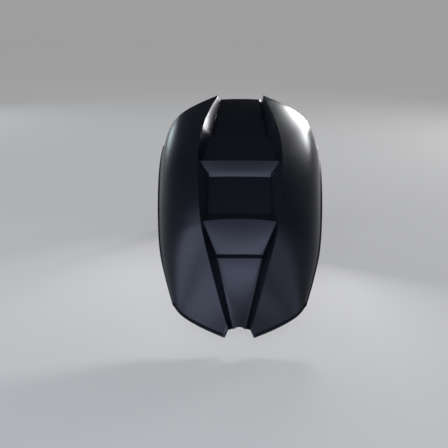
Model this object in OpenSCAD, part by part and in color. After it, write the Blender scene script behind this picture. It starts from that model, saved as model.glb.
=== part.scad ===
// Rear hugger mudguard of a scooter or motorcycle, moulded in one piece.
// Millimetres. +Z is up, +Y points to the front of the vehicle, X runs across.
// The origin is the middle of the four mounting holes, on the seat of the two feet.
// Angles are measured round the wheel axle, from straight back (0) up over the tyre (90).

/* [Wheel] */
// Radius of the tyre that the guard covers
tyre_r = 286.5; // [260:0.5:300]
// Width of the tyre
tyre_w = 160; // [130:1:164]
// Distance from the mounting holes back to the wheel axle
axle_back = 200; // [185:1:220]
// Distance from the seat of the feet down to the wheel axle
axle_drop = 60; // [50:1:75]

/* [Shell] */
// Thickness of the moulded wall
wall = 3; // [2.4:0.1:3.6]
// Gap between the tyre and the inside of the centre channel
crown_gap = 7.5; // [6:0.5:12]
// Gap between the tyre and the inside of the side rims
side_gap = 9; // [8:0.1:12]
// How far the side rims reach in from the channel floor
skirt_drop = 49; // [42:1:54]
// Height of the wing creases over the channel floor, half way up
crease_rise = 11; // [9:0.5:14]
// Height of the two fins over the channel floor, at their tips
fin_rise = 20; // [16:0.5:24]
// Sideways reach of the wing crown, as a share of the wing
crown_reach = 0.85; // [0.7:0.01:0.9]
// Fall of the wing crown, as a share of the wing, half way up
crown_fall = 0.54; // [0.45:0.01:0.65]
// Fall of the wing crown at the upper edge
crown_fall_top = 0.37; // [0.3:0.01:0.5]
// Pull of the wing crown towards its shoulder at the upper edge; 1 is a plain round
shoulder_pull = 1.7; // [1:0.1:2]
// How far the rolled lip stands out of the rim
lip_out = 2; // [1:0.1:2.5]
// Height of the rolled lip
lip_h = 3; // [2.4:0.1:4]

/* [Edges] */
// Angle of the two lower tips
tip_a = 14.4; // [12:0.2:15.4]
// Angle of the notch between the lower tips
notch_a = 16.6; // [16:0.2:18]
// Angle of the lower outer corners
corner_a = 19.9; // [19:0.2:21]
// Angle of the upper edge of the wings
top_a = 71.4; // [70:0.2:73]
// Angle of the front edge of the channel floor
floor_end_a = 77; // [76:0.5:80]

/* [Centre channel] */
// Reach of the lowest panel round the wheel, in degrees
panel4_span = 13.4; // [12:0.1:14]
// Reach of the second panel
panel3_span = 6.5; // [5:0.1:7]
// Reach of the sunk middle panel
field_span = 8.7; // [7:0.1:9]
// Reach of the cross bar
bar_span = 2.4; // [2:0.1:3]
// Reach of the stretch from the cross bar up to the last step
deep_span = 7.3; // [6:0.1:8]
// Height of the lowest panel's upper edge
panel4_rise = 6; // [4:0.5:7]
// Height of the second panel's upper edge
panel3_rise = 8; // [6:0.5:9]
// Height of the cross bar's upper edge
bar_rise = 9; // [7:0.5:10]
// Height of the step in the deep part
deep_rise = 4; // [2:0.5:5]
// Bow of the second panel's upper edge, in degrees
arch_a = 0.5; // [0:0.1:1]
// Half width of the sunk middle panel
field_x = 34.4; // [32:0.1:36]
// Depth of the grooves beside the two lower panels
groove_d = 5; // [3:0.5:5.5]

/* [Mounting feet] */
// Distance between the left and right holes
hole_pitch_x = 204; // [200:1:216]
// Distance between the front and rear holes
hole_pitch_y = 46; // [36:1:56]
// Hole diameter, for an M6 bolt
hole_d = 6.5; // [5.5:0.1:8.5]
// Diameter of the boss round each hole
boss_d = 18; // [16:0.5:20]
// Height of the bosses over the seat
boss_h = 9; // [8:0.5:12]
// Thickness of the foot plates
foot_t = 5; // [4:0.5:6]
// Distance from the hole centres to the edge of the foot
foot_end = 11.5; // [10.5:0.5:14]
// Thickness of the side arms at the feet
stay_t = 4; // [3:0.5:5]
// Width of the side arms at the feet
arm_w = 48; // [40:1:52]
// Thickness of the gussets
gusset_t = 4; // [3:0.5:6]
// Height of the gussets over the foot plate
gusset_h = 12; // [8:1:16]

/* [Hidden] */
$fn = 48;

floor_r = tyre_r + crown_gap + wall;
half_w = tyre_w / 2 + side_gap + wall + lip_out;
rim_r = floor_r - skirt_drop;
riser_a = 0.6;
ramp4_a = 1;
ramp3_a = 2.4;
panel4_a = notch_a + panel4_span;
panel3_a = panel4_a + ramp4_a + panel3_span;
bar_low_a = panel3_a + ramp3_a + field_span;
bar_top_a = bar_low_a + riser_a + bar_span;
deep_a = bar_top_a + riser_a + deep_span;
blend_a = 24;
tip_share = 0.083;
corner_round_a = 0.8;
panel4_fall = 5;
panel3_fall = 6;
field_fall = 1.2;
bar_fall = 6;
deep_low = 1;
hem_out = 0.75 * lip_out;
fin_start_a = 44;
fin_end_a = 78;
facet_slope = 0.25;
axle = [0, -axle_back, -axle_drop];
foot_half = hole_pitch_y / 2 + foot_end;
stay_inset = 5.1;
stay_x = half_w - lip_out - wall - stay_inset;
foot_inset = 3;
arm_shift = 4;
arm_front_y = arm_w / 2 - arm_shift;
arm_rear_y = -arm_w / 2 - arm_shift;
arm_leave_a = 10;
arm_land_a = 62;

function mix(a, b, t) = a + (b - a) * t;
function ease(t) = let (u = min(1, max(0, t))) u * u * (3 - 2 * u);
function share(t, a, b) = (t - a) / (b - a);

// Smooth curve through a few [angle, value] rows
function row_at(rows, t) = max([for (i = [0:len(rows) - 2]) if (i == 0 || t >= rows[i][0]) i]);
function slope(rows, i) =
    let (a = max(0, i - 1), b = min(len(rows) - 1, i + 1))
    (rows[b][1] - rows[a][1]) / (rows[b][0] - rows[a][0]);
function curve(rows, t) =
    let (i = row_at(rows, t), h = rows[i + 1][0] - rows[i][0], u = min(1, max(0, (t - rows[i][0]) / h)))
    rows[i][1] * (1 + 2 * u) * (1 - u) * (1 - u) + rows[i + 1][1] * (3 - 2 * u) * u * u
    + slope(rows, i) * h * u * (1 - u) * (1 - u) - slope(rows, i + 1) * h * (1 - u) * u * u;

// Side rims: half width and radius along the guard
rim_width = [[14, 0.62], [20, 0.735], [27, 0.845], [34, 0.925], [44, 0.972], [58, 1], [66, 1], [73, 0.985]];
rim_lift = [[14, 34], [20, 28], [27, 16.5], [34, 8.5], [44, 2.5], [56, 0], [73, -2]];
function rim_x(a) = half_w * curve(rim_width, a) - lip_out;
function rim_rad(a) = rim_r + curve(rim_lift, a);

// Wing creases, on which the two wings rise to the fins
crease_width = [[14, 8], [20, 18], [30, 32.3], [37, 40.8], [44, 44.2], [51, 46], [57, 44.4],
                [63, 38.6], [71, 26.2]];
crease_lift = [[14, 0.1], [24, 0.4], [37, 0.75], [47, 1]];
function crease_x(a) = curve(crease_width, a);
function crease_r(a) =
    floor_r + crease_rise * curve(crease_lift, a)
    + (fin_rise - crease_rise) * ease(share(a, fin_start_a, fin_end_a));

// Half widths of the channel floor, at the lower and the upper edge of each stretch
panel4_x = [7.4, 23.8];
panel3_x = [24.6, 39.2];
bar_x = [field_x, 43.8];
deep_x = [43.6, 34.6];
top_x = [31, 24];

// Floor of the centre channel: each lower panel stands proud of the one above it
function span(x, t) = mix(x[0], x[1], t);
function floor_lift(a) =
    a <= panel4_a ? mix(panel4_rise - panel4_fall, panel4_rise, share(a, tip_a, panel4_a)) :
    a <= panel3_a ? mix(panel3_rise - panel3_fall, panel3_rise, share(a, panel4_a + ramp4_a, panel3_a)) :
    a <= bar_low_a ? mix(0, field_fall, share(a, panel3_a + ramp3_a, bar_low_a)) :
    a <= bar_top_a ? mix(bar_rise - bar_fall, bar_rise, share(a, bar_low_a + riser_a, bar_top_a)) :
    a <= deep_a ? mix(deep_low, deep_low + deep_rise, share(a, bar_top_a + riser_a, deep_a)) :
    deep_low;
function floor_x(a) =
    a <= panel4_a ? span(panel4_x, share(a, notch_a, panel4_a)) :
    a <= panel3_a ? span(panel3_x, share(a, panel4_a + ramp4_a, panel3_a)) :
    a <= bar_low_a ? field_x :
    a <= bar_top_a ? span(bar_x, share(a, bar_low_a + riser_a, bar_top_a)) :
    a <= deep_a ? span(deep_x, share(a, bar_top_a + riser_a, deep_a)) :
    span(top_x, ease(share(a, deep_a, floor_end_a)));

// Wall between the channel floor and the wing crease: groove, plain slope or two facets.
// The lower facet takes this share of the wall's width, first and last.
facet_share = [0.64, 0.12];
function groove(a) = groove_d * ease(share(crease_x(a) - floor_x(a), 1, 6));
function wall_points(a) =
    let (xf = floor_x(a), rf = floor_r + floor_lift(a), xc = crease_x(a), rc = crease_r(a))
    let (split = span(facet_share, ease(share(a, 52, 61))))
    let (steep = mix(1, facet_slope, ease(share(a, 54, 57))))
    a <= panel3_a
        ? [[mix(xf, xc, 0.22), rf - groove(a)], [mix(xf, xc, 0.45), min(rf, rc) - groove(a)]]
        : [for (k = [split / 2, split]) [mix(xf, xc, k), mix(rf, rc, k * steep)]];

// Wing: a crowned curve from the crease to the rim, ending in a rolled lip
WING_STEPS = 9;
function bend(p, q, s, t, pull) =
    (p * (1 - t) * (1 - t) + q * 2 * pull * t * (1 - t) + s * t * t)
    / ((1 - t) * (1 - t) + 2 * pull * t * (1 - t) + t * t);
function wing_points(a) =
    let (p = [crease_x(a), crease_r(a)], s = [rim_x(a), rim_rad(a) + lip_h])
    let (up = ease(share(a, 40, 70)), pull = mix(1, shoulder_pull, up))
    let (fall = mix(crown_fall, crown_fall_top, up))
    let (q = [mix(p[0], s[0], crown_reach), mix(p[1], s[1], fall)])
    [for (k = [0:WING_STEPS]) bend(p, q, s, k / WING_STEPS, pull)];
function lip_points(a) =
    let (x = rim_x(a), r = rim_rad(a))
    [[x + lip_out * 0.3, r + lip_h * 0.5], [x + lip_out, r + lip_h * 0.2], [x + lip_out, r - lip_h * 0.3]];

// Right half of the section at one angle, from the centre line to the lip
function half_section(a) =
    let (xf = floor_x(a), rf = floor_r + floor_lift(a))
    concat([[0, rf + 0.8], [xf * 0.5, rf + 0.6], [xf * 0.94, rf + 0.1], [xf, rf - 0.4]],
           wall_points(a), wing_points(a), lip_points(a));
FLOOR_COLUMNS = 4;
WALL_COLUMNS = 2;
COLUMNS = FLOOR_COLUMNS + WALL_COLUMNS + WING_STEPS + 1 + 3;
CREASE = FLOOR_COLUMNS + WALL_COLUMNS;

// Lower and upper edge of the shell, as the angle at which each column ends
function wing_share(j) = min(1, (j - CREASE) / WING_STEPS);
function lower_end(j) =
    j < CREASE ? notch_a - 0.1 * j :
    let (w = wing_share(j))
    w < tip_share ? mix(notch_a - 0.6, tip_a, w / tip_share) :
    mix(tip_a, corner_a, share(w, tip_share, 1)) + corner_round_a * pow(max(0, share(w, 0.75, 1)), 2);
function upper_end(j) =
    j < FLOOR_COLUMNS ? floor_end_a :
    j < CREASE ? mix(floor_end_a, top_a, (j - FLOOR_COLUMNS + 1) / 3) :
    top_a + 0.8 * wing_share(j);

// Angles of the stations that are shared by all columns
function spread(a, b, n) = [for (k = [1:n]) mix(a, b, k / n)];
STATIONS = concat([blend_a], spread(blend_a, panel4_a, 3), [panel4_a + ramp4_a],
    spread(panel4_a + ramp4_a, panel3_a, 4), [panel3_a + ramp3_a],
    spread(panel3_a + ramp3_a, bar_low_a, 4), [bar_low_a + riser_a],
    spread(bar_low_a + riser_a, bar_top_a, 2), [bar_top_a + riser_a],
    spread(bar_top_a + riser_a, deep_a, 4), [deep_a + riser_a]);
LOW_STEPS = 4;
HEM_STEPS = [0, 0.3, 0.8];
TOP_STEPS = 6;
function column_angles(j) =
    let (last = STATIONS[len(STATIONS) - 1])
    concat([for (h = HEM_STEPS) lower_end(j) + h],
           [for (k = [1:LOW_STEPS]) mix(lower_end(j) + HEM_STEPS[2], blend_a, k / (LOW_STEPS + 1))],
           STATIONS, spread(last, upper_end(j), TOP_STEPS));
ROWS = len(HEM_STEPS) + LOW_STEPS + len(STATIONS) + TOP_STEPS;

// Hem: the lower edges of the wings roll outwards like the side rims
function hem(i, j) =
    i > 1 || j <= CREASE || j > CREASE + WING_STEPS ? 0 : hem_out;

// Bow of the second panel's upper edge, strongest on the centre line
function bow(a, j) =
    let (u = min(1, j / (FLOOR_COLUMNS - 1)))
    arch_a * (1 - u * u) * ease(share(a, panel4_a + ramp4_a, panel3_a))
    * (1 - ease(share(a, panel3_a, panel3_a + ramp3_a)));

// Outer point and inner point of one column at one angle
function unit(v) = v / norm(v);
function section_normal(s, j) =
    let (a = s[max(0, j - 1)], b = s[min(COLUMNS - 1, j + 1)], d = unit(b - a))
    j == 0 ? [0, 1] : [-d[1], d[0]];
function place(p, a) = [p[0], axle[1] - p[1] * cos(a), axle[2] + p[1] * sin(a)];
function mirror_x(p) = [-p[0], p[1], p[2]];

// Arms: the side strips of the wings run on past the upper edge and down to the feet
ARM_START = CREASE + 6;
ARM_STEPS = 12;
ARM_COLUMNS = COLUMNS - ARM_START;
RING = 2 * ARM_COLUMNS;
function bezier(p, q, r, s, t) =
    p * pow(1 - t, 3) + q * 3 * t * pow(1 - t, 2) + r * 3 * t * t * (1 - t) + s * pow(t, 3);
function arm_end(m) =
    let (is_outer = m < ARM_COLUMNS, c = is_outer ? m : RING - 1 - m, lip = c > ARM_COLUMNS - 4)
    [stay_x + (is_outer ? stay_t : 0) + (lip && is_outer ? lip_out : 0),
     mix(arm_front_y, arm_rear_y, c / (ARM_COLUMNS - 1)), foot_t / 2];
function arm_point(start, m, k) =
    let (stop = arm_end(m), lead = norm(stop - start) / 3, t = k / ARM_STEPS)
    bezier(start, start + lead * [0, cos(arm_leave_a), -sin(arm_leave_a)],
           stop - lead * [0, cos(arm_land_a), -sin(arm_land_a)], stop, t);

module shell() {
    angles = [for (j = [0:COLUMNS - 1]) column_angles(j)];
    halves = [for (i = [0:ROWS - 1]) [for (j = [0:COLUMNS - 1])
        let (a = angles[j][i], s = half_section(a), n = section_normal(s, j))
        let (b = a + bow(a, j), p = s[j] + n * hem(i, j))
        [place(p, b), place(p - n * wall, b)]]];
    wide = 2 * COLUMNS - 1;
    inner = ROWS * wide;
    arms = 2 * inner;
    top = ROWS - 1;
    function ring_column(m) = m < ARM_COLUMNS ? ARM_START + m : COLUMNS - 1 - (m - ARM_COLUMNS);
    function ring_start(m) = halves[top][ring_column(m)][m < ARM_COLUMNS ? 0 : 1];
    function at(i, j) = i * wide + j;
    function ring_at(side, k, m) =
        let (w = m % RING, c = ring_column(w), j = side == 0 ? COLUMNS - 1 + c : COLUMNS - 1 - c)
        k == 0 ? at(top, j) + (w < ARM_COLUMNS ? 0 : inner) : arms + (side * ARM_STEPS + k - 1) * RING + w;
    function turned(f, side) = side == 0 ? f : [f[0], f[2], f[1]];
    grid = [for (face = [0, 1]) for (i = [0:ROWS - 1]) for (j = [1 - COLUMNS:COLUMNS - 1])
        j < 0 ? mirror_x(halves[i][-j][face]) : halves[i][j][face]];
    rings = [for (side = [0, 1]) for (k = [1:ARM_STEPS]) for (m = [0:RING - 1])
        let (p = arm_point(ring_start(m), m, k)) side == 0 ? p : mirror_x(p)];
    skins = [for (i = [0:ROWS - 2]) for (j = [0:wide - 2])
        let (a = at(i, j), b = at(i, j + 1), c = at(i + 1, j + 1), d = at(i + 1, j))
        each [[a, c, b], [a, d, c],
              [inner + a, inner + b, inner + c], [inner + a, inner + c, inner + d]]];
    ends = [for (j = [0:wide - 2]) for (i = [0, top])
        let (a = at(i, j), b = at(i, j + 1), p = inner + a, q = inner + b)
        let (column = min(abs(j - COLUMNS + 1), abs(j - COLUMNS + 2)))
        if (i == 0 || column < ARM_START)
            each i == 0 ? [[a, b, q], [a, q, p]] : [[a, q, b], [a, p, q]]];
    sides = [for (i = [0:ROWS - 2]) for (j = [0, wide - 1])
        let (a = at(i, j), d = at(i + 1, j), p = inner + a, s = inner + d)
        each j == 0 ? [[a, p, s], [a, s, d]] : [[a, s, p], [a, d, s]]];
    tubes = [for (side = [0, 1]) for (k = [0:ARM_STEPS - 1]) for (m = [0:RING - 1])
        let (a = ring_at(side, k, m), b = ring_at(side, k, m + 1))
        let (c = ring_at(side, k + 1, m + 1), d = ring_at(side, k + 1, m))
        each [turned([a, c, b], side), turned([a, d, c], side)]];
    caps = [for (side = [0, 1]) for (m = [0:ARM_COLUMNS - 2])
        let (a = ring_at(side, ARM_STEPS, m), b = ring_at(side, ARM_STEPS, m + 1))
        let (q = ring_at(side, ARM_STEPS, RING - 2 - m), p = ring_at(side, ARM_STEPS, RING - 1 - m))
        each [turned([a, q, b], side), turned([a, p, q], side)]];
    polyhedron(concat(grid, rings), concat(skins, ends, sides, tubes, caps), convexity = 8);
}

// Foot plate with two bossed bolt holes, braced against the arm by a gusset
module foot() {
    hole_x = hole_pitch_x / 2;
    foot_x = stay_x - foot_inset;
    difference() {
        union() {
            translate([foot_x, -foot_half, 0]) cube([hole_x - foot_x, 2 * foot_half, foot_t]);
            translate([hole_x, -foot_half + foot_end, 0])
                cube([foot_end, 2 * (foot_half - foot_end), foot_t]);
            for (y = [-1, 1] * hole_pitch_y / 2) translate([hole_x, y, 0]) {
                cylinder(h = foot_t, r = foot_end);
                cylinder(h = boss_h, d = boss_d);
            }
        }
        for (y = [-1, 1] * hole_pitch_y / 2)
            translate([hole_x, y, -1]) cylinder(h = boss_h + 2, d = hole_d);
    }
    translate([0, gusset_t / 2, 0]) rotate([90, 0, 0]) linear_extrude(gusset_t)
        polygon([[stay_x + stay_t / 2, foot_t / 2], [hole_x, foot_t / 2], [hole_x, foot_t],
                 [stay_x + stay_t, foot_t + gusset_h], [stay_x + stay_t / 2, foot_t + gusset_h]]);
}

module mudguard() {
    color("#1b1c20") {
        shell();
        for (side = [0, 1]) mirror([side, 0, 0]) foot();
    }
}

mudguard();
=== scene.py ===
import math

import bmesh
import bpy
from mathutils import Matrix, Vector


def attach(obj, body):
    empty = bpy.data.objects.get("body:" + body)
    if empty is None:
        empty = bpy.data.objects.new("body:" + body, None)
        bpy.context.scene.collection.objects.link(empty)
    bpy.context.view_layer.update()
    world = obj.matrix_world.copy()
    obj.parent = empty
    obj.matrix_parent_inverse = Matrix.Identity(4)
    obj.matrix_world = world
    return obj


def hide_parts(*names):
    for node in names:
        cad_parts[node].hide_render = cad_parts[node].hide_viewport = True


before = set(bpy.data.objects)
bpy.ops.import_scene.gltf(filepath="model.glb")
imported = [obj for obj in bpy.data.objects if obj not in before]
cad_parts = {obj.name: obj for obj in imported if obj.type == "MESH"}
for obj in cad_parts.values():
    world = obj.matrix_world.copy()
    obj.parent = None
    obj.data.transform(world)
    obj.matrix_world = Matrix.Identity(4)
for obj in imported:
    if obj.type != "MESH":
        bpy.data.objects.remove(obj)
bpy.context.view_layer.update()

MM = 0.001

# Driving dimensions of the guard, in millimetres and degrees, as in the part's source
TYRE_R = 286.5
TYRE_W = 160
AXLE_BACK = 200
AXLE_DROP = 60
WALL = 3
CROWN_GAP = 7.5
SIDE_GAP = 9
SKIRT_DROP = 49
CREASE_RISE = 11
FIN_RISE = 20
CROWN_REACH = 0.85
CROWN_FALL = 0.54
CROWN_FALL_TOP = 0.37
SHOULDER_PULL = 1.7
LIP_OUT = 2
LIP_H = 3
TIP_A = 14.4
NOTCH_A = 16.6
CORNER_A = 19.9
TOP_A = 71.4
FLOOR_END_A = 77
PANEL4_SPAN = 13.4
PANEL3_SPAN = 6.5
FIELD_SPAN = 8.7
BAR_SPAN = 2.4
DEEP_SPAN = 7.3
RISER_A = 0.6
RAMP4_A = 1
RAMP3_A = 2.4
PANEL4_RISE = 6
PANEL4_FALL = 5
PANEL3_RISE = 8
PANEL3_FALL = 6
FIELD_FALL = 1.2
BAR_RISE = 9
BAR_FALL = 6
DEEP_RISE = 4
DEEP_LOW = 1
ARCH_A = 0.5
PANEL4_X = (7.4, 23.8)
PANEL3_X = (24.6, 39.2)
FIELD_X = 34.4
BAR_X = 43.8
DEEP_X = (43.6, 34.6)
TOP_X = (31, 24)
GROOVE_D = 5
GROOVE_GAP = (1, 6)
FIN_START_A = 44
FIN_END_A = 78
HOLE_PITCH_X = 204
HOLE_PITCH_Y = 46
HOLE_D = 6.5
BOSS_D = 18
BOSS_H = 9
FOOT_T = 5
FOOT_END = 11.5
STAY_T = 4
STAY_INSET = 5.1
ARM_W = 48
ARM_SHIFT = 4
GUSSET_T = 4
GUSSET_H = 12

# Derived values
FLOOR_R = TYRE_R + CROWN_GAP + WALL
HALF_W = TYRE_W / 2 + SIDE_GAP + WALL + LIP_OUT
RIM_R = FLOOR_R - SKIRT_DROP
PANEL4_A = NOTCH_A + PANEL4_SPAN
PANEL3_A = PANEL4_A + RAMP4_A + PANEL3_SPAN
BAR_LOW_A = PANEL3_A + RAMP3_A + FIELD_SPAN
BAR_TOP_A = BAR_LOW_A + RISER_A + BAR_SPAN
DEEP_A = BAR_TOP_A + RISER_A + DEEP_SPAN
FOOT_HALF = HOLE_PITCH_Y / 2 + FOOT_END
STAY_X = HALF_W - LIP_OUT - WALL - STAY_INSET
ARM_FRONT_Y = ARM_W / 2 - ARM_SHIFT
ARM_REAR_Y = -ARM_W / 2 - ARM_SHIFT

# Form of the ends, the fins' inner walls, the lip and the arms
BLEND_A = 24
TIP_SHARE = 0.083
NOTCH_SLANT_A = 0.6
TOP_SLANT_A = 0.8
CORNER_ROUND_A = 0.8
CORNER_ROUND_FROM = 0.75
GROOVE_X = (0.12, 0.34)
GROOVE_SIDE = 0.6
FACET_SHARE = (0.64, 0.12)
FACET_TURN_A = (51, 57)
FACET_SLOPE = 0.25
SLOPE_TURN_A = (54, 57)
SHOULDER_A = (40, 70)
LIP_FORM = ((0.3, 0.5), (1, 0.2), (1, -0.3))
FOOT_INSET = 3
ARM_LEAVE_A = 10
ARM_LAND_A = 62
EDGE_R = 0.7
EDGE_A = 24


def mix(a, b, t):
    return a + (b - a) * t


def ease(t):
    u = min(1, max(0, t))
    return u * u * (3 - 2 * u)


def share(t, a, b):
    return (t - a) / (b - a)


def curve(rows, t):
    """Smooth curve through a few (angle, value) rows, as the part's source has it."""
    i = max(k for k in range(len(rows) - 1) if k == 0 or t >= rows[k][0])

    def slope(k):
        a, b = max(0, k - 1), min(len(rows) - 1, k + 1)
        return (rows[b][1] - rows[a][1]) / (rows[b][0] - rows[a][0])

    h = rows[i + 1][0] - rows[i][0]
    u = min(1, max(0, (t - rows[i][0]) / h))
    return (rows[i][1] * (1 + 2 * u) * (1 - u) ** 2 + rows[i + 1][1] * (3 - 2 * u) * u * u
            + slope(i) * h * u * (1 - u) ** 2 - slope(i + 1) * h * (1 - u) * u * u)


RIM_WIDTH = [(14, 0.62), (20, 0.735), (27, 0.845), (34, 0.925), (44, 0.972), (58, 1), (66, 1),
             (73, 0.985)]
RIM_LIFT = [(14, 34), (20, 28), (27, 16.5), (34, 8.5), (44, 2.5), (56, 0), (73, -2)]
CREASE_WIDTH = [(14, 8), (20, 18), (30, 32.3), (37, 40.8), (44, 44.2), (51, 46), (57, 44.4),
                (63, 38.6), (71, 26.2)]
CREASE_LIFT = [(14, 0.1), (24, 0.4), (37, 0.75), (47, 1)]


def rim_x(a):
    return HALF_W * curve(RIM_WIDTH, a) - LIP_OUT


def rim_rad(a):
    return RIM_R + curve(RIM_LIFT, a)


def crease_x(a):
    return curve(CREASE_WIDTH, a)


def crease_r(a):
    fin = (FIN_RISE - CREASE_RISE) * ease(share(a, FIN_START_A, FIN_END_A))
    return FLOOR_R + CREASE_RISE * curve(CREASE_LIFT, a) + fin


def floor_lift(a):
    """Height of the channel floor: each lower panel stands proud of the one above it."""
    if a <= PANEL4_A:
        return mix(PANEL4_RISE - PANEL4_FALL, PANEL4_RISE, share(a, TIP_A, PANEL4_A))
    if a <= PANEL3_A:
        return mix(PANEL3_RISE - PANEL3_FALL, PANEL3_RISE, share(a, PANEL4_A + RAMP4_A, PANEL3_A))
    if a <= BAR_LOW_A:
        return mix(0, FIELD_FALL, share(a, PANEL3_A + RAMP3_A, BAR_LOW_A))
    if a <= BAR_TOP_A:
        return mix(BAR_RISE - BAR_FALL, BAR_RISE, share(a, BAR_LOW_A + RISER_A, BAR_TOP_A))
    if a <= DEEP_A:
        return mix(DEEP_LOW, DEEP_LOW + DEEP_RISE, share(a, BAR_TOP_A + RISER_A, DEEP_A))
    return DEEP_LOW


def floor_x(a):
    """Half width of the channel floor."""
    if a <= PANEL4_A:
        return mix(*PANEL4_X, share(a, NOTCH_A, PANEL4_A))
    if a <= PANEL3_A:
        return mix(*PANEL3_X, share(a, PANEL4_A + RAMP4_A, PANEL3_A))
    if a <= BAR_LOW_A:
        return FIELD_X
    if a <= BAR_TOP_A:
        return mix(FIELD_X, BAR_X, share(a, BAR_LOW_A + RISER_A, BAR_TOP_A))
    if a <= DEEP_A:
        return mix(*DEEP_X, share(a, BAR_TOP_A + RISER_A, DEEP_A))
    return mix(*TOP_X, ease(share(a, DEEP_A, FLOOR_END_A)))


def groove(a):
    """Depth of the side groove: it fades out where the wall beside the panel gets narrow."""
    return GROOVE_D * ease(share(crease_x(a) - floor_x(a), *GROOVE_GAP))


def wall_points(a):
    """Wall between the channel floor and the wing crease: groove, plain slope or two facets."""
    xf, rf, xc, rc = floor_x(a), FLOOR_R + floor_lift(a), crease_x(a), crease_r(a)
    if a <= PANEL3_A:
        side, bottom = GROOVE_X
        return [(mix(xf, xc, side), rf - GROOVE_SIDE * groove(a)),
                (mix(xf, xc, bottom), min(rf, rc) - groove(a))]
    split = mix(*FACET_SHARE, ease(share(a, *FACET_TURN_A)))
    steep = mix(1, FACET_SLOPE, ease(share(a, *SLOPE_TURN_A)))
    return [(mix(xf, xc, k), mix(rf, rc, k * steep)) for k in (split / 2, split)]


WING_STEPS = 24
FLOOR_SHARES = (0, 0.25, 0.5, 0.75, 1, 1, 1)
FLOOR_EDGE = (0, 0, 0, 0, 2, 0.7, 0)
FLOOR_CROWN = (0.8, 0.75, 0.6, 0.35, 0.1, -0.25, -0.9)


def bend(p, q, s, t, pull):
    """Conic from p to s, drawn towards q."""
    return ((p * (1 - t) ** 2 + q * 2 * pull * t * (1 - t) + s * t * t)
            / ((1 - t) ** 2 + 2 * pull * t * (1 - t) + t * t))


def wing_points(a):
    """Wing: a crowned curve from the crease to the rim."""
    px, pr = crease_x(a), crease_r(a)
    sx, sr = rim_x(a), rim_rad(a) + LIP_H
    up = ease(share(a, *SHOULDER_A))
    fall, pull = mix(CROWN_FALL, CROWN_FALL_TOP, up), mix(1, SHOULDER_PULL, up)
    qx, qr = mix(px, sx, CROWN_REACH), mix(pr, sr, fall)
    return [(bend(px, qx, sx, k / WING_STEPS, pull), bend(pr, qr, sr, k / WING_STEPS, pull))
            for k in range(WING_STEPS + 1)]


def lip_points(a):
    """Rolled lip on the rim."""
    x, r = rim_x(a), rim_rad(a)
    return [(x + LIP_OUT * u, r + LIP_H * v) for u, v in LIP_FORM]


def half_section(a):
    """Right half of the section at one angle, from the centre line to the lip."""
    xf, rf = floor_x(a), FLOOR_R + floor_lift(a)
    floor = [(xf * s - e, rf + c) for s, e, c in zip(FLOOR_SHARES, FLOOR_EDGE, FLOOR_CROWN)]
    return floor + wall_points(a) + wing_points(a) + lip_points(a)


FLOOR_COLUMNS = len(FLOOR_SHARES)
WALL_COLUMNS = 2
CREASE = FLOOR_COLUMNS + WALL_COLUMNS
COLUMNS = CREASE + WING_STEPS + 1 + len(LIP_FORM)
ARM_START = CREASE + WING_STEPS * 2 // 3
ARM_COLUMNS = COLUMNS - ARM_START
RING = 2 * ARM_COLUMNS
ARM_STEPS = 28


def wing_share(j):
    return min(1, (j - CREASE) / WING_STEPS)


def lower_end(j):
    """Angle of the lower edge: the notch, the pointed tip and the outer corner."""
    if j < CREASE:
        return NOTCH_A - NOTCH_SLANT_A * j / CREASE
    w = wing_share(j)
    if w < TIP_SHARE:
        return mix(NOTCH_A - NOTCH_SLANT_A, TIP_A, w / TIP_SHARE)
    rounding = CORNER_ROUND_A * max(0, share(w, CORNER_ROUND_FROM, 1)) ** 2
    return mix(TIP_A, CORNER_A, share(w, TIP_SHARE, 1)) + rounding


def upper_end(j):
    """Angle of the upper edge: the channel floor reaches further than the wings."""
    if j < FLOOR_COLUMNS:
        return FLOOR_END_A
    if j < CREASE:
        return mix(FLOOR_END_A, TOP_A, (j - FLOOR_COLUMNS + 1) / (WALL_COLUMNS + 1))
    return TOP_A + TOP_SLANT_A * wing_share(j)


def spread(a, b, n):
    return [mix(a, b, (k + 1) / n) for k in range(n)]


STEPS = [BLEND_A]
for stop, count, ramp in ((PANEL4_A, 7, RAMP4_A), (PANEL3_A, 8, RAMP3_A), (BAR_LOW_A, 10, RISER_A),
                          (BAR_TOP_A, 4, RISER_A), (DEEP_A, 9, RISER_A)):
    STEPS += spread(STEPS[-1], stop, count) + [stop + ramp]
LOW_STEPS = 12
HEM_STEPS = (0, 0.15, 0.35, 0.6, 0.9)
HEM_LIFT = (0.35, 0.72, 0.75, 0.4, 0)
TOP_STEPS = 14


def column_angles(j):
    """Angles of the rows along one column, with the same row count in every column."""
    low = [lower_end(j) + h for h in HEM_STEPS]
    low += [mix(low[-1], BLEND_A, k / LOW_STEPS) for k in range(1, LOW_STEPS)]
    return low + STEPS + spread(STEPS[-1], upper_end(j), TOP_STEPS)


ROWS = len(HEM_STEPS) + LOW_STEPS - 1 + len(STEPS) + TOP_STEPS


def hem(i, j):
    """Hem: the lower edges of the wings roll outwards like the side rims."""
    if i >= len(HEM_LIFT) or j <= CREASE or j > CREASE + WING_STEPS:
        return 0
    return LIP_OUT * HEM_LIFT[i] * min(1, wing_share(j) / TIP_SHARE)


def bow(a, j):
    """Bow of the second panel's upper edge, strongest on the centre line."""
    u = FLOOR_SHARES[j] if j < FLOOR_COLUMNS else 1
    return (ARCH_A * (1 - u * u) * ease(share(a, PANEL4_A + RAMP4_A, PANEL3_A))
            * (1 - ease(share(a, PANEL3_A, PANEL3_A + RAMP3_A))))


def section_normal(s, j):
    if j == 0:
        return 0, 1
    (ax, ar), (bx, br) = s[j - 1], s[min(len(s) - 1, j + 1)]
    length = math.hypot(bx - ax, br - ar)
    return -(br - ar) / length, (bx - ax) / length


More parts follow.
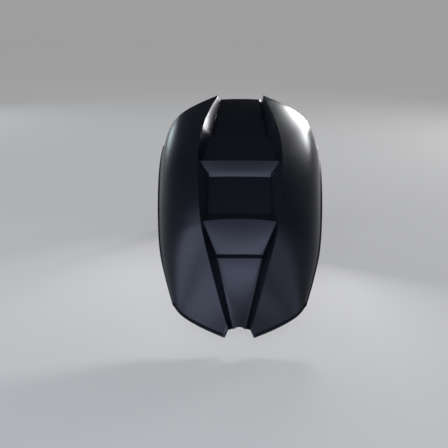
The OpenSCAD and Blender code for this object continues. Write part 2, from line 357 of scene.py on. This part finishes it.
def place(x, r, a):
    """Point at a radius and an angle round the wheel's axle."""
    t = math.radians(a)
    return Vector((x, -AXLE_BACK - r * math.cos(t), -AXLE_DROP + r * math.sin(t))) * MM


def arm_end(m):
    """Point m of the ring in which an arm lands on its foot."""
    outer = m < ARM_COLUMNS
    c = m if outer else RING - 1 - m
    lip = LIP_OUT if outer and c >= ARM_COLUMNS - len(LIP_FORM) else 0
    return Vector((STAY_X + (STAY_T if outer else 0) + lip,
                   mix(ARM_FRONT_Y, ARM_REAR_Y, c / (ARM_COLUMNS - 1)), FOOT_T / 2)) * MM


def arm_point(start, m, k):
    stop, t = arm_end(m), k / ARM_STEPS
    lead = (stop - start).length / 3
    leave, land = math.radians(ARM_LEAVE_A), math.radians(ARM_LAND_A)
    q = start + lead * Vector((0, math.cos(leave), -math.sin(leave)))
    r = stop - lead * Vector((0, math.cos(land), -math.sin(land)))
    return start * (1 - t) ** 3 + q * 3 * t * (1 - t) ** 2 + r * 3 * t * t * (1 - t) + stop * t ** 3


def build_shell(name):
    """The moulded shell with its arms, one closed mesh."""
    mesh = bmesh.new()
    angles = [column_angles(j) for j in range(COLUMNS)]
    skin = [[], []]
    for i in range(ROWS):
        outer, inner = [], []
        for j in range(COLUMNS):
            s = half_section(angles[j][i])
            (x, r), (nx, nr) = s[j], section_normal(s, j)
            at, lift = angles[j][i] + bow(angles[j][i], j), hem(i, j)
            outer.append(place(x + nx * lift, r + nr * lift, at))
            inner.append(place(x + nx * (lift - WALL), r + nr * (lift - WALL), at))
        skin[0].append(outer)
        skin[1].append(inner)

    def column(points, j):
        p = points[abs(j)]
        return Vector((-p.x, p.y, p.z)) if j < 0 else p

    span = range(1 - COLUMNS, COLUMNS)
    verts = [[{j: mesh.verts.new(column(row, j)) for j in span} for row in side] for side in skin]
    outer, inner = verts
    for i in range(ROWS - 1):
        for j in list(span)[:-1]:
            mesh.faces.new((outer[i][j], outer[i][j + 1], outer[i + 1][j + 1], outer[i + 1][j]))
            mesh.faces.new((inner[i][j], inner[i + 1][j], inner[i + 1][j + 1], inner[i][j + 1]))
        for j in (1 - COLUMNS, COLUMNS - 1):
            loop = [outer[i][j], outer[i + 1][j], inner[i + 1][j], inner[i][j]]
            mesh.faces.new(loop if j > 0 else loop[::-1])
    for j in list(span)[:-1]:
        mesh.faces.new((outer[0][j], inner[0][j], inner[0][j + 1], outer[0][j + 1]))
        if min(abs(j), abs(j + 1)) < ARM_START:
            mesh.faces.new((outer[-1][j], outer[-1][j + 1], inner[-1][j + 1], inner[-1][j]))

    for side in (1, -1):
        ring = [outer[-1][side * (ARM_START + m)] for m in range(ARM_COLUMNS)]
        ring += [inner[-1][side * (COLUMNS - 1 - m)] for m in range(ARM_COLUMNS)]
        starts = [Vector((abs(v.co.x), v.co.y, v.co.z)) for v in ring]
        for k in range(1, ARM_STEPS + 1):
            points = [arm_point(p, m, k) for m, p in enumerate(starts)]
            nxt = [mesh.verts.new((side * p.x, p.y, p.z)) for p in points]
            for m in range(RING):
                loop = (ring[m], ring[(m + 1) % RING], nxt[(m + 1) % RING], nxt[m])
                mesh.faces.new(loop if side > 0 else loop[::-1])
            ring = nxt
        for m in range(ARM_COLUMNS - 1):
            loop = (ring[m], ring[m + 1], ring[RING - 2 - m], ring[RING - 1 - m])
            mesh.faces.new(loop if side > 0 else loop[::-1])
    return to_object(mesh, name)


def to_object(mesh, name):
    bmesh.ops.recalc_face_normals(mesh, faces=mesh.faces)
    data = bpy.data.meshes.new(name)
    mesh.to_mesh(data)
    mesh.free()
    piece = bpy.data.objects.new(name, data)
    bpy.context.scene.collection.objects.link(piece)
    return piece


def prism(outline, low, high, name, axis="Z"):
    """A straight prism on a closed outline, drawn in XY (axis Z) or XZ (axis Y)."""
    mesh = bmesh.new()

    def at(p, t):
        return Vector((p[0], p[1], t) if axis == "Z" else (p[0], t, p[1])) * MM

    bottom = [mesh.verts.new(at(p, low)) for p in outline]
    top = [mesh.verts.new(at(p, high)) for p in outline]
    mesh.faces.new(bottom)
    mesh.faces.new(top)
    for i in range(len(outline)):
        n = (i + 1) % len(outline)
        mesh.faces.new((bottom[i], bottom[n], top[n], top[i]))
    return to_object(mesh, name)


def arc(x, y, r, a0, a1, n):
    return [(x + r * math.cos(math.radians(mix(a0, a1, k / n))),
             y + r * math.sin(math.radians(mix(a0, a1, k / n)))) for k in range(n + 1)]


def circle(x, y, r, n=48):
    return arc(x, y, r, 0, 360, n)[:-1]


def boolean(piece, tool, operation):
    mod = piece.modifiers.new(operation.lower(), "BOOLEAN")
    mod.operation = operation
    mod.solver = "EXACT"
    mod.object = tool
    bake(piece)
    bpy.data.objects.remove(tool)


def bake(piece):
    """Applies the piece's modifiers."""
    graph = bpy.context.evaluated_depsgraph_get()
    data = bpy.data.meshes.new_from_object(piece.evaluated_get(graph))
    piece.modifiers.clear()
    piece.data = data


def add_feet(shell):
    """Feet with two bossed bolt holes each, and a gusset to the arm."""
    hole_x = HOLE_PITCH_X / 2
    rows = (-HOLE_PITCH_Y / 2, HOLE_PITCH_Y / 2)
    for side in (1, -1):
        x0, x1 = side * (STAY_X - FOOT_INSET), side * hole_x
        right = arc(x1, rows[0], FOOT_END, -90, 0, 10) + arc(x1, rows[1], FOOT_END, 0, 90, 10)
        left = arc(x1, rows[1], FOOT_END, 90, 180, 10) + arc(x1, rows[0], FOOT_END, 180, 270, 10)
        inside = [(x0, side * FOOT_HALF), (x0, -side * FOOT_HALF)]
        outline = (right if side > 0 else left) + inside
        boolean(shell, prism(outline, 0, FOOT_T, "foot"), "UNION")
        for y in rows:
            boolean(shell, prism(circle(x1, y, BOSS_D / 2), 1, BOSS_H, "boss"), "UNION")
        web = [(STAY_X + STAY_T / 2, FOOT_T / 2), (hole_x, FOOT_T / 2), (hole_x, FOOT_T),
               (STAY_X + STAY_T, FOOT_T + GUSSET_H), (STAY_X + STAY_T / 2, FOOT_T + GUSSET_H)]
        web = [(side * x, z) for x, z in web]
        boolean(shell, prism(web, -GUSSET_T / 2, GUSSET_T / 2, "gusset", "Y"), "UNION")
        for y in rows:
            boolean(shell, prism(circle(x1, y, HOLE_D / 2), -1, BOSS_H + 1, "hole"), "DIFFERENCE")


def soften(piece):
    """Rounds the moulded edges and smooths the shading."""
    bevel = piece.modifiers.new("edges", "BEVEL")
    bevel.width = EDGE_R * MM
    bevel.segments = 3
    bevel.limit_method = "ANGLE"
    bevel.angle_limit = math.radians(EDGE_A)
    bevel.use_clamp_overlap = True
    bake(piece)
    for polygon in piece.data.polygons:
        polygon.use_smooth = True
    weighted = piece.modifiers.new("normals", "WEIGHTED_NORMAL")
    weighted.keep_sharp = True
    weighted.weight = 50


def satin_plastic():
    """Satin black moulded plastic: a fine grain, with slow changes in gloss."""
    material = bpy.data.materials.new("satin_black_plastic")
    material.use_nodes = True
    nodes, links = material.node_tree.nodes, material.node_tree.links
    shader = nodes["Principled BSDF"]
    shader.inputs["Specular IOR Level"].default_value = 0.5
    shader.inputs["IOR"].default_value = 1.4
    shader.inputs["Specular Tint"].default_value = (0.82, 0.88, 1, 1)
    place_on = nodes.new("ShaderNodeTexCoord")

    def noise(scale, detail, rough=0.5):
        node = nodes.new("ShaderNodeTexNoise")
        node.inputs["Scale"].default_value = scale
        node.inputs["Detail"].default_value = detail
        node.inputs["Roughness"].default_value = rough
        links.new(place_on.outputs["Object"], node.inputs["Vector"])
        return node

    def ramp(source, stops):
        node = nodes.new("ShaderNodeValToRGB")
        for k, (where, value) in enumerate(stops):
            stop = node.color_ramp.elements[k] if k < 2 else node.color_ramp.elements.new(where)
            stop.position = where
            stop.color = (*value, 1)
        links.new(source, node.inputs["Fac"])
        return node

    slow = noise(9, 3)
    dark, light = (0.0095, 0.0105, 0.0150), (0.0115, 0.0125, 0.0175)
    tone = ramp(slow.outputs["Fac"], [(0.3, dark), (0.7, light)])
    links.new(tone.outputs["Color"], shader.inputs["Base Color"])
    gloss = ramp(noise(28, 4).outputs["Fac"], [(0.3, (0.27,) * 3), (0.7, (0.32,) * 3)])
    links.new(gloss.outputs["Color"], shader.inputs["Roughness"])
    grain = noise(1500, 2, 0.6)
    bump = nodes.new("ShaderNodeBump")
    bump.inputs["Strength"].default_value = 0.08
    bump.inputs["Distance"].default_value = 0.0002
    links.new(grain.outputs["Fac"], bump.inputs["Height"])
    links.new(bump.outputs["Normal"], shader.inputs["Normal"])
    return material


def pale_floor():
    """Pale matt floor that stays pale to the camera and in reflections without more light."""
    material = bpy.data.materials.new("pale_floor")
    material.use_nodes = True
    nodes, links = material.node_tree.nodes, material.node_tree.links
    shader = nodes["Principled BSDF"]
    shader.inputs["Base Color"].default_value = (0.42, 0.42, 0.42, 1)
    shader.inputs["Roughness"].default_value = 0.9
    shader.inputs["Specular IOR Level"].default_value = 0.1
    path = nodes.new("ShaderNodeLightPath")
    seen = path.outputs["Is Camera Ray"]
    for kind in ("Is Glossy Ray", "Is Transmission Ray"):
        either = nodes.new("ShaderNodeMath")
        either.operation = "MAXIMUM"
        links.new(seen, either.inputs[0])
        links.new(path.outputs[kind], either.inputs[1])
        seen = either.outputs[0]
    surface = nodes.new("ShaderNodeNewGeometry")
    height = nodes.new("ShaderNodeSeparateXYZ")
    links.new(surface.outputs["Position"], height.inputs[0])
    # Painted light: the floor glows evenly, and the glow fades up the wall from 0.32 at 0.3 m to 0.08
    # at 1 m. This paints shade on the upper wall, which the guard also shows in its reflections.
    fade = nodes.new("ShaderNodeMapRange")
    fade.inputs["From Min"].default_value = 0.3
    fade.inputs["From Max"].default_value = 1.0
    fade.inputs["To Min"].default_value = 0.32
    fade.inputs["To Max"].default_value = 0.08
    links.new(height.outputs["Z"], fade.inputs["Value"])
    glow = nodes.new("ShaderNodeMath")
    glow.operation = "MULTIPLY"
    links.new(fade.outputs[0], glow.inputs[1])
    links.new(seen, glow.inputs[0])
    shader.inputs["Emission Color"].default_value = (1, 1, 1, 1)
    links.new(glow.outputs[0], shader.inputs["Emission Strength"])
    return material


def build_floor():
    """Round pale floor that sweeps up into a low wall."""
    mesh = bmesh.new()
    around, sweep, height, bends, sides = 5.4, 0.6, 1.35, 12, 96
    profile = [(around - sweep + sweep * math.sin(t), sweep - sweep * math.cos(t))
               for t in [math.radians(90 * k / bends) for k in range(bends + 1)]] + [(around, height)]
    turns = [math.radians(360 * k / sides) for k in range(sides)]
    rows = [[mesh.verts.new((r * math.cos(t), r * math.sin(t), z)) for t in turns]
            for r, z in profile]
    mesh.faces.new(rows[0])
    for a, b in zip(rows, rows[1:]):
        for k in range(len(turns)):
            n = (k + 1) % len(turns)
            mesh.faces.new((a[k], a[n], b[n], b[k]))
    floor = to_object(mesh, "floor")
    for polygon in floor.data.polygons:
        polygon.use_smooth = len(polygon.vertices) == 4
    floor.data.materials.append(pale_floor())


def area_light(name, where, target, size, power, colour=(1, 1, 1)):
    light = bpy.data.lights.new(name, "AREA")
    light.shape = "RECTANGLE"
    light.size, light.size_y = size
    light.energy = power
    light.color = colour
    lamp = bpy.data.objects.new(name, light)
    lamp.location = where
    lamp.rotation_euler = (Vector(target) - Vector(where)).to_track_quat("-Z", "Y").to_euler()
    lamp.visible_camera = False
    bpy.context.scene.collection.objects.link(lamp)


def light_from(name, turn, rise, distance, size, power, colour=(1, 1, 1)):
    """Soft light aimed at the middle of the guard.

    Turn runs from ahead of the guard (0) to its right (90), and 180 is behind the camera.
    """
    middle = Vector((0, -0.33, 0.15))
    turn, rise = math.radians(turn), math.radians(rise)
    way = Vector((math.sin(turn) * math.cos(rise), math.cos(turn) * math.cos(rise), math.sin(rise)))
    area_light(name, middle + way * distance, middle, size, power, colour)


def build_lights():
    """Plain soft studio light, with a window on each side that the shoulders reflect."""
    world = bpy.data.worlds.new("studio")
    bpy.context.scene.world = world
    world.use_nodes = True
    world.node_tree.nodes["Background"].inputs["Color"].default_value = (0.85, 0.92, 1, 1)
    world.node_tree.nodes["Background"].inputs["Strength"].default_value = 0.05
    cool = (0.76, 0.80, 1)
    light_from("window_right", 40, 19, 1.7, (0.4, 0.35), 6.5)
    light_from("window_left", -33, 8, 1.8, (0.35, 0.3), 1.6, (0.8, 0.95, 1))
    light_from("behind_camera_low", 180, 23, 2.2, (1.2, 0.4), 9.5, cool)
    light_from("behind_camera_high", 180, 32, 2.2, (1.2, 0.25), 2, cool)
    light_from("low_left_front", -108, 12, 1.6, (0.6, 0.5), 3.2, cool)
    light_from("low_left", -135, 8, 1.6, (0.6, 0.5), 3.5, cool)
    light_from("low_left_back", -155, 6, 1.8, (0.6, 0.5), 4.5, cool)
    light_from("low_right", 120, 8, 1.6, (0.6, 0.5), 1.3, cool)
    light_from("low_right_back", 150, 10, 1.8, (0.6, 0.5), 2.4, cool)
    fins = Vector((0, -0.31, 0.25))
    area_light("beside_fins", (0.1, -0.155, 0.24), fins, (0.08, 0.06), 1.2)


# Camera of the photograph: distances from the wheel axle, in millimetres
FOCAL_PX = 933
IMAGE_PX = 448
AXLE_DEPTH = 1257
AXLE_BELOW = 114
CAMERA_DOWN = 15
CENTRE_PX = 239.8
SENSOR_MM = 36


def build_camera():
    """Camera in the wheel's middle plane, looking down and turned a little to the left."""
    down = math.radians(CAMERA_DOWN)
    forward = Vector((0, math.cos(down), -math.sin(down)))
    up = Vector((0, math.sin(down), math.cos(down)))
    axle = Vector((0, -AXLE_BACK, -AXLE_DROP))
    data = bpy.data.cameras.new("camera")
    data.sensor_width = SENSOR_MM
    data.lens = FOCAL_PX / IMAGE_PX * SENSOR_MM
    camera = bpy.data.objects.new("camera", data)
    camera.location = (axle - forward * AXLE_DEPTH + up * AXLE_BELOW) * MM
    turn = math.atan((CENTRE_PX - IMAGE_PX / 2) / FOCAL_PX)
    look = forward * math.cos(turn) - Vector((1, 0, 0)) * math.sin(turn)
    camera.rotation_euler = look.to_track_quat("-Z", "Y").to_euler()
    bpy.context.scene.collection.objects.link(camera)
    bpy.context.scene.camera = camera


def main():
    guard = build_shell("mudguard_moulding")
    add_feet(guard)
    soften(guard)
    guard.data.materials.append(satin_plastic())
    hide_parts("mudguard")
    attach(guard, "root")
    build_floor()
    build_lights()
    build_camera()
    bpy.context.scene.view_settings.view_transform = "Standard"


main()
